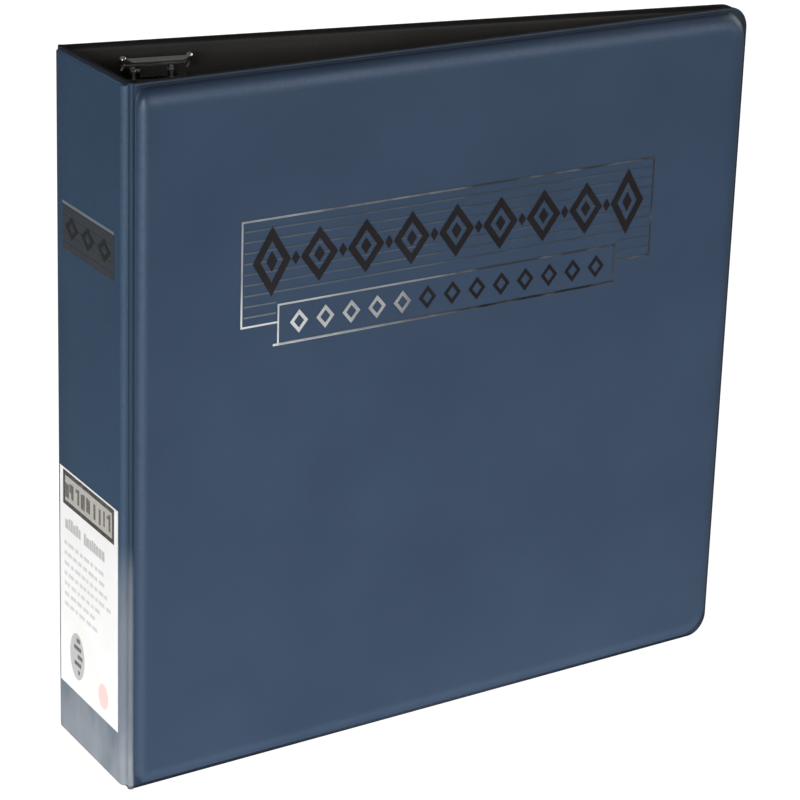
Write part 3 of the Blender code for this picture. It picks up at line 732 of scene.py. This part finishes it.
def build_linings(material):
    a, z = cover_grid()
    for panel, word, seed, flat in ((FRONT, "front", 3.1, ()),
                                    (BACK, "back", 7.7, (MECHANISM_LOW - 3.0, MECHANISM_HIGH + 3.0))):
        n = lining_height(a, z, COVER_LOW, COVER_HIGH, seed, *flat)
        lining_piece(f"{word}_inner_vinyl", panel, a, z, n, material,
                     f"{word}_cover", f"{word}_lining")
    a, z = spine_grid(COVER_EDGE, COVER_EDGE)
    n = lining_height(a, z, SPINE_LOW, SPINE_HIGH, 5.3)
    lining_piece("spine_inner_vinyl", SPINE, a, z, n, material, "spine", "spine_lining")


# Hinges

def hinge_strip(name, pivot, start, end, sink, way, material, bodies, replaced=()):
    """A strip of vinyl in a hinge's groove, from the spine's border to the cover's.

    It sinks towards the hinge line by the share sink half way across.
    """
    steps = 18
    sheet = 0.4 * MM
    first, last = (start - pivot), (end - pivot)
    start_angle, end_angle = atan2(first.y, first.x), atan2(last.y, last.x)
    if way * (end_angle - start_angle) < 0:
        end_angle += way * 2 * pi
    radius = (hypot(first.x, first.y) + hypot(last.x, last.y)) / 2
    turns = [start_angle + (end_angle - start_angle) * step / steps for step in range(steps + 1)]
    reach = [radius * (1 - sink * sin(pi * step / steps) ** 0.7) for step in range(steps + 1)]
    section = [(r * cos(turn), r * sin(turn)) for r, turn in zip(reach, turns)]
    section += [((r - sheet) * cos(turn), (r - sheet) * sin(turn))
                for r, turn in zip(reversed(reach), reversed(turns))]
    levels = np.linspace(0.0, HEIGHT * MM, 41)
    bm = bmesh.new()
    rings = [[bm.verts.new((pivot.x + x, pivot.y + y, level)) for x, y in section] for level in levels]
    count = len(section)
    for ring, following in zip(rings, rings[1:]):
        for i in range(count):
            bm.faces.new((ring[i], ring[(i + 1) % count], following[(i + 1) % count], following[i]))
    bm.faces.new(rings[0])
    bm.faces.new(rings[-1])
    bmesh.ops.recalc_face_normals(bm, faces=bm.faces)
    mesh = mesh_from(bm, name)
    mesh.shade_smooth()
    mesh.set_sharp_from_angle(angle=radians(50))
    blank = np.zeros(len(mesh.vertices))
    # A share of the weld's dark colour, partly the weld and partly painted shade in the hinge's groove
    set_attributes(mesh, (("weld", blank + HINGE_WELD_AND_SHADE_SHARE), ("wear", blank)))
    piece = add_object(name, mesh)
    finish_piece(piece, None, material, replaced)
    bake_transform(piece)


def build_hinges(outer_material, inner_material):
    for word, panel, hinge, spine_edge, way in (("front", FRONT, FRONT_HINGE, SPINE_LOW, 1),
                                                ("back", BACK, BACK_HINGE, SPINE_HIGH, -1)):
        pivot = Vector((hinge.x, hinge.y, 0.0))
        bodies = ("spine", f"{word}_cover")
        outer = (SPINE.at(spine_edge, WELD_TOP, 0.0), panel.at(COVER_LOW, WELD_TOP, 0.0))
        inner = (SPINE.at(spine_edge, LINING_N, 0.0), panel.at(COVER_LOW, LINING_N, 0.0))
        hinge_strip(f"{word}_hinge_vinyl", pivot, *outer, 0.2, way, outer_material, bodies,
                    (f"{word}_hinge_seam",))
        hinge_strip(f"{word}_hinge_lining", pivot, *inner, 0.1, -way, inner_material, bodies)


# Stamping and printing

def decal(name, sheet, shapes, lift, material, body, replaced=(), thickness=0.06, pitch=6.0):
    """Flat shapes laid on a sheet of vinyl, cut fine enough to follow it."""
    bm = bmesh.new()
    for shape in shapes:
        bm.faces.new([bm.verts.new((a, z, 0.0)) for a, z in shape])
    reach = [a for shape in shapes for a, z in shape]
    cut = min(reach) + pitch
    while cut < max(reach):
        bmesh.ops.bisect_plane(bm, geom=bm.verts[:] + bm.edges[:] + bm.faces[:], plane_co=(cut, 0, 0),
                               plane_no=(1, 0, 0), dist=1e-5)
        cut += pitch
    for face in bm.faces:
        face.normal_update()
        if (face.normal.z < 0) != sheet.panel.mirrored:
            face.normal_flip()
    a = np.array([vertex.co.x for vertex in bm.verts])
    z = np.array([vertex.co.y for vertex in bm.verts])
    points = sheet.panel.place(a, sheet.height(a, z) + lift, z)
    for vertex, point in zip(bm.verts, points):
        vertex.co = point
    piece = add_object(name, mesh_from(bm, name))
    thicken(piece, thickness)
    finish_piece(piece, body, material, replaced)


def bar(low_a, high_a, low_z, high_z):
    return [(low_a, low_z), (high_a, low_z), (high_a, high_z), (low_a, high_z)]


def frame_bars(low_a, high_a, low_z, high_z, width):
    """Four bars round a rectangle, inside its edges."""
    return [bar(low_a, high_a, low_z, low_z + width), bar(low_a, high_a, high_z - width, high_z),
            bar(low_a, low_a + width, low_z + width, high_z - width),
            bar(high_a - width, high_a, low_z + width, high_z - width)]


def lozenge(centre_a, centre_z, half_width, half_height, hollow):
    """A lozenge as four strokes round a hollow, or as one filled shape when hollow is 0."""
    tips = [(half_width, 0.0), (0.0, half_height), (-half_width, 0.0), (0.0, -half_height)]
    outer = [(centre_a + x, centre_z + z) for x, z in tips]
    if not hollow:
        return [outer]
    inner = [(centre_a + x * hollow, centre_z + z * hollow) for x, z in tips]
    return [[outer[i], outer[(i + 1) % 4], inner[(i + 1) % 4], inner[i]] for i in range(4)]


def oval(centre_a, centre_z, half_width, half_height, count):
    """A filled oval with count corners."""
    turns = [2 * pi * i / count for i in range(count)]
    return [(centre_a + half_width * cos(turn), centre_z + half_height * sin(turn)) for turn in turns]


def front_frames():
    """The big and the small frame of the front cover's stamping, each as its low and high a and z."""
    low, high = FRONT.span("front_foil_plaque", FRONT.along)
    z_low, z_high = FRONT.span("front_foil_plaque", UP)
    big_z = z_low + 9.4
    return (low, high, big_z, z_high), (low + 17.5, high - 19.5, z_low, big_z + 8.0)


def build_front_rules(sheet, silver, dull):
    """Two offset ruled frames, the big one pinstriped round the small one."""
    (big_low, big_high, big_z, z_high), (small_low, small_high, z_low, shelf) = front_frames()
    line, half_stripe = 0.8, 0.35
    rules = frame_bars(big_low, big_high, big_z, z_high, line)[1:]
    rules += [bar(big_low, small_low, big_z, big_z + line), bar(small_high, big_high, big_z, big_z + line)]
    rules += frame_bars(small_low, small_high, z_low, shelf, line)
    rules += [bar(small_low - 2.0, small_high, z_low - 0.2, z_low + line)]
    stripes = []
    stripe_count = 9
    ends = (big_low + 1.5, big_high - 1.5)
    for i in range(1, stripe_count + 1):
        level = big_z + (z_high - big_z) * i / (stripe_count + 1)
        stripe_low, stripe_high = level - half_stripe, level + half_stripe
        if level > shelf + 1:
            stripes.append(bar(*ends, stripe_low, stripe_high))
        else:
            stripes += [bar(ends[0], small_low - line, stripe_low, stripe_high),
                        bar(small_high + line, ends[1], stripe_low, stripe_high)]
    decal("front_foil_rules", sheet, rules, FOIL_LIFT, silver, "front_cover",
          ("front_foil_plaque",))
    decal("front_foil_stripes", sheet, stripes, FOIL_LIFT, dull, "front_cover")


def build_front_lozenges(sheet, silver, dark):
    """A row of lozenges in each frame. The first few of the small frame's are in silver foil, as a painted
    glint.
    """
    (big_low, big_high, _, z_high), (small_low, small_high, z_low, shelf) = front_frames()
    middle = (shelf + z_high) / 2
    big_count, small_count, painted_glint_count = 9, 13, 5
    margin = 3.0
    pitch = (big_high - big_low - 2 * margin) / big_count
    motifs = []
    for i in range(big_count):
        centre = big_low + margin + pitch * (i + 0.5)
        grown = 1.28 if i in (0, big_count - 1) else 1.0
        motifs += lozenge(centre, middle, 9.0, 11.4 * grown, 0.6)
        motifs += lozenge(centre, middle, 2.6, 3.4 * grown, 0)
    for i in range(1, big_count):
        centre = big_low + margin + pitch * i
        motifs += lozenge(centre, middle, 2.0, 2.8, 0)
    margin = 4.0
    pitch = (small_high - small_low - 2 * margin) / small_count
    painted_glint_strokes = []
    for i in range(small_count):
        centre = small_low + margin + pitch * (i + 0.5)
        strokes = lozenge(centre, (z_low + shelf) / 2, 4.4, 5.0, 0.56)
        # The first few lozenges of the small frame carry a painted glint in the silver foil
        if i < painted_glint_count:
            painted_glint_strokes += strokes
        else:
            motifs += strokes
    decal("front_foil_lozenges", sheet, motifs, MOTIF_LIFT, dark, "front_cover")
    decal("front_foil_painted_glint_lozenges", sheet, painted_glint_strokes, MOTIF_LIFT, silver, "front_cover")


def build_spine_foil(sheet, grey, bronze, smoke):
    """A bronze foil block in stripes under a paler rule, with a row of darker lozenges."""
    low, high = SPINE.span("spine_foil_band", SPINE.along)
    z_low, z_high = SPINE.span("spine_foil_band", UP)
    pitch, stripe, rule = 3.8, 3.1, 1.3
    stripes = [bar(low, high, z_low + i * pitch, z_low + i * pitch + stripe) for i in range(5)]
    decal("spine_foil_block", sheet, stripes, FOIL_LIFT, bronze, "spine", ("spine_foil_band",))
    decal("spine_foil_rule", sheet, [bar(low, high, z_high - rule, z_high)], FOIL_LIFT, grey, "spine")
    lozenges = []
    for centre in (-16.0, 0.0, 16.0):
        lozenges += lozenge(centre, (z_low + z_high) / 2, 6.4, 4.8, 0.5)
    decal("spine_foil_lozenges", sheet, lozenges, MOTIF_LIFT, smoke, "spine")


def header_blocks(draw, low, high, foot):
    """Generic blocks in place of the header's letters, from low to high."""
    blocks = []
    a = low + 3.6
    while a < high - 6.0:
        width = draw.uniform(1.2, 2.6)
        base = foot + draw.uniform(3.4, 4.6)
        blocks.append(bar(a, a + width, base, base + draw.uniform(6.0, 7.6)))
        if draw.random() < 0.6:
            arm = base + draw.choice((0.0, 2.6, 5.0))
            blocks.append(bar(a + width, a + width + 1.8, arm, base + 6.4))
        a += width + draw.uniform(2.4, 4.0)
    return blocks


def title_blocks(draw, under):
    """Two words' worth of generic blocks below the height under."""
    blocks = []
    for start, end, drop in ((24.0, 8.0, 0.0), (4.5, -14.0, 0.6)):
        a = start
        while a > end:
            width = draw.uniform(1.4, 3.2)
            top = under - 6.5 - drop + draw.uniform(0.0, 1.2)
            blocks.append(bar(a - width, a, under - 10.5 - drop, top))
            a -= width + 0.5
    return blocks


def small_print(draw, under):
    """Lines of generic blocks, ragged at one end."""
    blocks = []
    for row in range(7):
        z = under - 18.0 - row * 4.6
        a = 25.0
        last = draw.uniform(-22.0, 2.0)
        while a > last:
            width = draw.uniform(2.0, 6.0)
            blocks.append(bar(a - width, a, z, z + 1.7))
            a -= width + draw.uniform(0.8, 1.8)
    return blocks


def emblem_marks(draw, centre, foot):
    """Bars of uneven length across the emblem's disc."""
    marks = []
    for row in range(5):
        reach = 5.4 - abs(row - 2) * 1.3
        z = foot + 23.6 - row * 3.6
        marks.append(bar(centre - reach, centre + draw.uniform(-1.0, reach), z, z + 1.9))
    return marks


def build_label(sheet, inks):
    """The spine's paper sticker: a dark boxed header over a white field with generic blocks of print."""
    draw = random.Random(11)
    low, high = SPINE.span("spine_label", SPINE.along)
    z_low, z_high = SPINE.span("spine_label", UP)
    decal("label_sheet", sheet, [bar(low, high, z_low, z_high)], LABEL_LIFT, label_paper(),
          "spine", ("spine_label",), thickness=0.2, pitch=3.0)
    top, bottom, reach = z_high - 0.8, z_high - 16.0, 26.0
    emblem = 12.0

    def print_on(name, shapes, colour, level):
        decal(name, sheet, shapes, LABEL_LIFT + PRINT_STEP * level, inks[colour], "spine",
              thickness=0.03)

    print_on("label_header_field", [bar(-reach, reach, bottom, top)], "stone", 1)
    print_on("label_header_print", frame_bars(-reach, reach, bottom, top, 2.0), "dark", 2)
    print_on("label_header_blocks", header_blocks(draw, -reach, reach, bottom), "brown", 2)
    print_on("label_title_blocks", title_blocks(draw, bottom), "grey", 2)
    print_on("label_small_print", small_print(draw, bottom), "faint", 1)
    print_on("label_emblem", [oval(emblem, z_low + 17.0, 7.5, 10.5, 36)], "grey", 1)
    print_on("label_emblem_marks", emblem_marks(draw, emblem, z_low), "brown", 2)
    print_on("label_seal", [oval(-15.0, z_low + 10.0, 5.0, 5.5, 28)], "pink", 1)


# Ring mechanism

def dress_node(node, material):
    """Gives a CAD node its finish and shades it smooth across its curves, sharp at its edges."""
    piece = frame["nodes"][node]
    mesh = piece.data
    custom = mesh.attributes.get("custom_normal")
    if custom:
        mesh.attributes.remove(custom)
    mesh.shade_smooth()
    weld = piece.modifiers.new("weld", "WELD")
    weld.merge_threshold = 0.00001
    split = piece.modifiers.new("edges", "EDGE_SPLIT")
    split.split_angle = radians(SMOOTH_BELOW)
    mesh.materials.clear()
    mesh.materials.append(material)


def roll(name, start, end, radius, material, body):
    """A bright rolled edge: a round-ended bar from start to end."""
    bm = bmesh.new()
    bmesh.ops.create_uvsphere(bm, u_segments=20, v_segments=13, radius=radius)
    half = (end - start).length / 2
    for vertex in bm.verts:
        vertex.co.z += half if vertex.co.z > 0 else -half
    turn = (end - start).to_track_quat("Z", "Y").to_matrix().to_4x4()
    bm.transform(Matrix.Translation((start + end) / 2) @ turn)
    mesh = mesh_from(bm, name)
    mesh.shade_smooth()
    finish_piece(add_object(name, mesh), body, material)


def build_lever_rolls(material):
    """The two short edges of each lever's wing, curled over so that no corner of the sheet is sharp."""
    for lever in ("bottom_lever", "top_lever"):
        outline = [vertex.co for vertex in frame["nodes"][lever].data.vertices]
        for word, side in (("spine", -1), ("fore", 1)):
            reach = [point.dot(BACK.along) * side for point in outline]
            tip = [point for point, far in zip(outline, reach) if far > max(reach) - 0.05 * MM]
            tip.sort(key=lambda point: point.z)
            roll(f"{lever}_{word}_roll", tip[0], tip[-1], ROLL_RADIUS * MM, material, lever)


def build_mechanism():
    nickel = metal("bright_nickel", (0.74, 0.73, 0.71), 0.18, (1.0, 1.0, 0.08), 0.006, 0.94)
    wire = metal("nickel_wire", (0.78, 0.77, 0.75), 0.14, (1.0, 1.0, 1.0), 0.003, 0.94)
    steel = metal("spring_steel", (0.46, 0.46, 0.47), 0.34, (1.0, 1.0, 0.05), 0.012)
    board = chipboard()
    build_lever_rolls(metal("rolled_nickel", (0.90, 0.89, 0.86), 0.2, (1.0, 1.0, 0.1), 0.004))
    finishes = ((("_half",), wire), (("_blade",), steel), (("_board",), board),
                (("_lever", "_pin", "_rivet", "_housing"), nickel))
    for node in frame["nodes"]:
        for endings, finish in finishes:
            if node.endswith(endings):
                dress_node(node, finish)


# Stage

def area_light(name, location, target, size, power, in_reflections):
    data = bpy.data.lights.new(name, "AREA")
    data.shape = "RECTANGLE"
    data.size, data.size_y = size
    data.energy = power
    light = add_object(name, data)
    light.visible_camera = False
    light.visible_glossy = in_reflections
    light.location = location
    light.rotation_euler = (target - location).to_track_quat("-Z", "Y").to_euler()


def even_glow(tree, share, look, strength):
    """A look with a share of it replaced by an even glow."""
    glow = add_node(tree, "ShaderNodeEmission", Strength=strength)
    mixed = add_node(tree, "ShaderNodeMixShader")
    for item, slot in zip((share, look, glow.outputs[0]), mixed.inputs):
        tree.links.new(item, slot)
    return mixed.outputs[0]


def floor_material():
    """Pale paper. Reflections show it dark, as if black flags held its glare off the vinyl."""
    material, tree, shader, point = new_material("studio_floor")
    paper = noise_value(tree, point, 40.0)
    tree.links.new(mix_colours(tree, paper, (0.78, 0.78, 0.78), (0.81, 0.81, 0.81)),
                   shader.inputs["Base Color"])
    shader.inputs["Roughness"].default_value = 0.95
    shader.inputs["Specular IOR Level"].default_value = 0.1
    rays = add_node(tree, "ShaderNodeLightPath")
    seen = arithmetic(tree, "MULTIPLY", rays.outputs["Is Camera Ray"], FLOOR_GLOW)
    look = even_glow(tree, seen, shader.outputs[0], 1.2)
    look = even_glow(tree, rays.outputs["Is Glossy Ray"], look, FLOOR_IN_GLOSS)
    tree.links.new(look, tree.nodes["Material Output"].inputs["Surface"])
    return material


def studio_world():
    """A pale backdrop that gives only a little light of its own."""
    world = bpy.data.worlds.new("studio")
    world.use_nodes = True
    tree = world.node_tree
    background = tree.nodes["Background"]
    background.inputs["Color"].default_value = (0.95, 0.97, 1.0, 1.0)
    rays = add_node(tree, "ShaderNodeLightPath")
    indirect = remap(tree, rays.outputs["Is Glossy Ray"], 0.0, 1.0, WORLD_LIGHT, WORLD_IN_GLOSS)
    seen = arithmetic(tree, "MULTIPLY", rays.outputs["Is Camera Ray"], 1.05)
    tree.links.new(arithmetic(tree, "MAXIMUM", indirect, seen), background.inputs["Strength"])
    bpy.context.scene.world = world


def direction(azimuth, elevation):
    """A unit vector out of the binder, with azimuth 0 in front of the front cover."""
    a, e = radians(azimuth), radians(elevation)
    return Vector((sin(a) * cos(e), -cos(a) * cos(e), sin(e)))


def build_stage():
    """A plain pale floor, a pale surround and soft studio lights."""
    bpy.ops.mesh.primitive_plane_add(size=16.0, location=(0.0, 0.0, -0.0004))
    floor = bpy.context.object
    floor.name = "studio_floor"
    floor.data.materials.append(floor_material())
    studio_world()
    just_above_floor = Vector((0.0, 0.0, 0.0005))
    area_light("light_table", just_above_floor, UP, (TABLE_SIZE, TABLE_SIZE), TABLE_POWER, False)
    for name, azimuth, elevation, distance, size, power, in_reflections in LIGHTS:
        location = direction(azimuth, elevation) * distance + STUDIO_MIDDLE
        area_light(name, location, STUDIO_MIDDLE, size, power, in_reflections)


def build_camera():
    tilt = radians(CAMERA_ROLL)
    back = direction(CAMERA_AZIMUTH, CAMERA_ELEVATION)
    level = UP.cross(back).normalized()
    upright = back.cross(level)
    right = level * cos(tilt) + upright * sin(tilt)
    up = upright * cos(tilt) - level * sin(tilt)
    data = bpy.data.cameras.new("camera")
    data.lens = CAMERA_LENS
    data.clip_start, data.clip_end = 0.05, 50.0
    camera = add_object("camera", data)
    turn = Matrix((right, up, back)).transposed().to_4x4()
    camera.matrix_world = Matrix.Translation(CAMERA_AIM + back * CAMERA_DISTANCE) @ turn
    bpy.context.scene.camera = camera
    bpy.context.scene.view_settings.view_transform = "Standard"


def build():
    build_stage()
    build_camera()
    # The welds' dark blue, also used as painted shade in grooves and on sides turned from the lights
    weld_and_shade_blue = (0.012, 0.020, 0.036)
    blue = vinyl("blue_vinyl", (0.0225, 0.047, 0.090), weld_and_shade_blue, 0.44, 1.1, 0.05)
    # The spine's vinyl, and the hinge strips that use it, carry the painted reflection of the floor
    spine_blue = vinyl("spine_blue_vinyl", (0.021, 0.050, 0.094), weld_and_shade_blue, 0.42, 1.1, 0.05,
                       foot_reflection_colour=(0.30, 0.32, 0.34))
    black = vinyl("black_vinyl", (0.044, 0.041, 0.037), (0.004, 0.004, 0.004), 0.46, 1.4, 0.07)
    # Each foil has its own colour and the paler colour of its painted reflection, which it turns to towards
    # the spine
    silver = foil("silver_foil", (0.045, 0.050, 0.058), (0.88, 0.89, 0.90), 0.3, 0.45)
    dull = foil("dull_foil", (0.050, 0.066, 0.092), (0.19, 0.22, 0.25), 0.35, 0.4)
    dark = foil("dark_foil", (0.020, 0.016, 0.019), (0.042, 0.037, 0.040), 0.32, 0.5)
    bronze = foil("bronze_foil", (0.036, 0.045, 0.050), (0.066, 0.058, 0.062), 0.42, 0.3)
    smoke = foil("smoke_foil", (0.015, 0.019, 0.022), (0.022, 0.022, 0.025), 0.36, 0.3)
    grey = foil("grey_foil", (0.12, 0.15, 0.17), (0.24, 0.28, 0.30), 0.35, 0.3)
    front_sheet = cover_sheet(FRONT, "front", 1.3)
    back_sheet = cover_sheet(BACK, "back", 4.9)
    spine = spine_sheet()
    build_covers(front_sheet, back_sheet, blue)
    build_spine(spine, spine_blue)
    build_linings(black)
    build_hinges(spine_blue, black)
    build_front_rules(front_sheet, silver, dull)
    build_front_lozenges(front_sheet, silver, dark)
    build_spine_foil(spine, grey, bronze, smoke)
    inks = {"stone": ink("stone_ink", (0.36, 0.34, 0.31)), "dark": ink("dark_ink", (0.03, 0.027, 0.024)),
            "brown": ink("brown_ink", (0.10, 0.09, 0.075)), "faint": ink("faint_ink", (0.52, 0.51, 0.51)),
            "grey": ink("grey_ink", (0.40, 0.40, 0.40)), "pink": ink("pink_ink", (0.70, 0.50, 0.47))}
    build_label(spine, inks)
    build_mechanism()


build()
